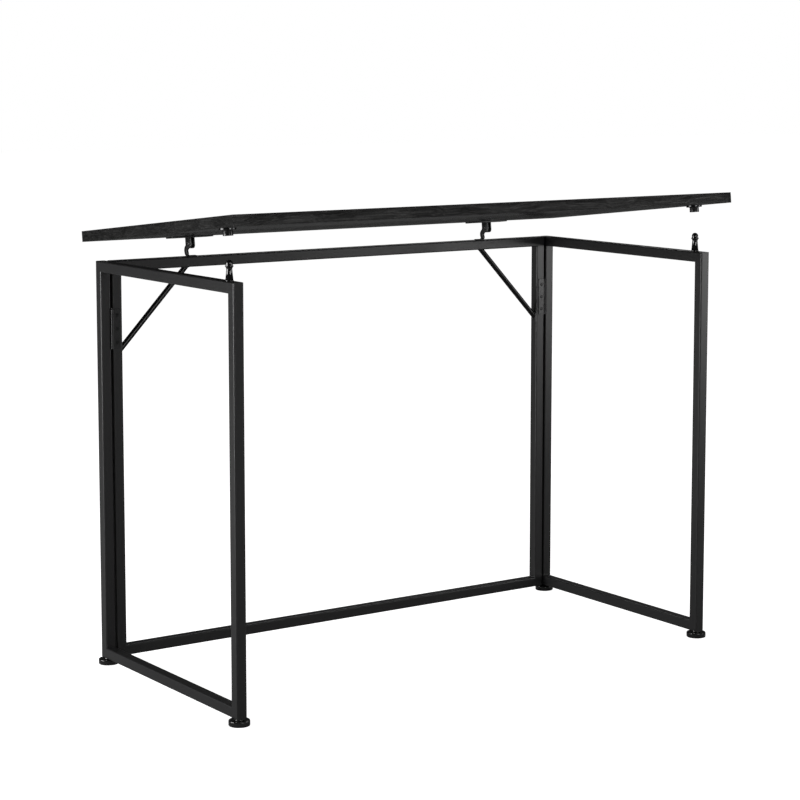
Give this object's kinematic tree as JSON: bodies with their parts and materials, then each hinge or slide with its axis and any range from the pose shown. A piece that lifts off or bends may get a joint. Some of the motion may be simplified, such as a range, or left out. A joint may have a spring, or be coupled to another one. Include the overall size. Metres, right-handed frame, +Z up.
{
  "type": "folding desk with lift-up top",
  "caption": "Folding desk: a tube back frame with two hinged side wings on levelling feet, and a hinged top board that drops onto locating studs.",
  "frame": {"origin": "middle of the footprint, on the floor, with the top lifted as at rest", "axes": "+X along the board's long side, +Y from the open front to the back frame, +Z up"},
  "size_m": [1, 0.4988, 0.7934],
  "materials": {
    "frame_paint": "satin black powder coat, fine orange peel",
    "edge_laminate": "black wood-grain edge band, matt with raised grain",
    "board_laminate": "black wood-grain laminate on chipboard, satin",
    "hinge_steel": "black coated pressed steel",
    "screw_steel": "black oxide countersunk screws",
    "zinc_steel": "zinc plated thread",
    "stud_gloss": "glossy black",
    "foot_plastic": "glossy black moulded plastic",
    "socket_plastic": "black moulded plastic"
  },
  "bodies": {
    "back_frame": {"back_top_rail": "frame_paint", "back_bottom_rail": "frame_paint", "back_left_post": "frame_paint", "back_right_post": "frame_paint", "left_brace": "frame_paint", "right_brace": "frame_paint", "left_hook_arm": "frame_paint", "right_hook_arm": "frame_paint", "left_hinge_fixed_leaf": "hinge_steel", "right_hinge_fixed_leaf": "hinge_steel", "left_hinge_fixed_screws": "screw_steel", "right_hinge_fixed_screws": "screw_steel", "left_hinge_pin": "hinge_steel", "right_hinge_pin": "hinge_steel"},
    "tabletop": {"tabletop_board": "board_laminate", "front_edge_band": "edge_laminate", "back_edge_band": "edge_laminate", "left_edge_band": "edge_laminate", "right_edge_band": "edge_laminate", "left_top_hinge_plate": "hinge_steel", "right_top_hinge_plate": "hinge_steel", "left_pivot_pin": "hinge_steel", "right_pivot_pin": "hinge_steel", "left_plate_screws": "screw_steel", "right_plate_screws": "screw_steel", "left_socket": "socket_plastic", "right_socket": "socket_plastic", "left_socket_screws": "screw_steel", "right_socket_screws": "screw_steel"},
    "left_wing": {"left_wing_top_rail": "frame_paint", "left_wing_bottom_rail": "frame_paint", "left_wing_front_post": "frame_paint", "left_wing_back_post": "frame_paint", "left_hinge_moving_leaf": "hinge_steel", "left_hinge_moving_screws": "screw_steel", "left_locating_stud": "stud_gloss", "left_stud_insert": "zinc_steel", "left_front_foot_insert": "zinc_steel", "left_back_foot_insert": "zinc_steel"},
    "left_front_foot": {"left_front_foot_pad": "foot_plastic", "left_front_foot_rod": "zinc_steel"},
    "left_back_foot": {"left_back_foot_pad": "foot_plastic", "left_back_foot_rod": "zinc_steel"},
    "right_wing": {"right_wing_top_rail": "frame_paint", "right_wing_bottom_rail": "frame_paint", "right_wing_front_post": "frame_paint", "right_wing_back_post": "frame_paint", "right_hinge_moving_leaf": "hinge_steel", "right_hinge_moving_screws": "screw_steel", "right_locating_stud": "stud_gloss", "right_stud_insert": "zinc_steel", "right_front_foot_insert": "zinc_steel", "right_back_foot_insert": "zinc_steel"},
    "right_front_foot": {"right_front_foot_pad": "foot_plastic", "right_front_foot_rod": "zinc_steel"},
    "right_back_foot": {"right_back_foot_pad": "foot_plastic", "right_back_foot_rod": "zinc_steel"}
  },
  "joints": [
    {"name": "top_lift", "type": "hinge", "parent": "back_frame", "child": "tabletop", "pos_m": [0, 0.21107, 0.7113], "axis": [-1, 0, 0], "range_deg": [-6.4, 50]},
    {"name": "left_wing_fold", "type": "hinge", "parent": "back_frame", "child": "left_wing", "pos_m": [-0.4613, 0.21837, 0.344], "axis": [0, 0, 1], "range_deg": [0, 90]},
    {"name": "left_front_foot_level", "type": "slide", "parent": "left_wing", "child": "left_front_foot", "axis": [0, 0, -1], "range_m": [0, 0.01]},
    {"name": "left_back_foot_level", "type": "slide", "parent": "left_wing", "child": "left_back_foot", "axis": [0, 0, -1], "range_m": [0, 0.01]},
    {"name": "right_wing_fold", "type": "hinge", "parent": "back_frame", "child": "right_wing", "pos_m": [0.4613, 0.21837, 0.344], "axis": [0, 0, -1], "range_deg": [0, 90]},
    {"name": "right_front_foot_level", "type": "slide", "parent": "right_wing", "child": "right_front_foot", "axis": [0, 0, -1], "range_m": [0, 0.01]},
    {"name": "right_back_foot_level", "type": "slide", "parent": "right_wing", "child": "right_back_foot", "axis": [0, 0, -1], "range_m": [0, 0.01]}
  ]
}
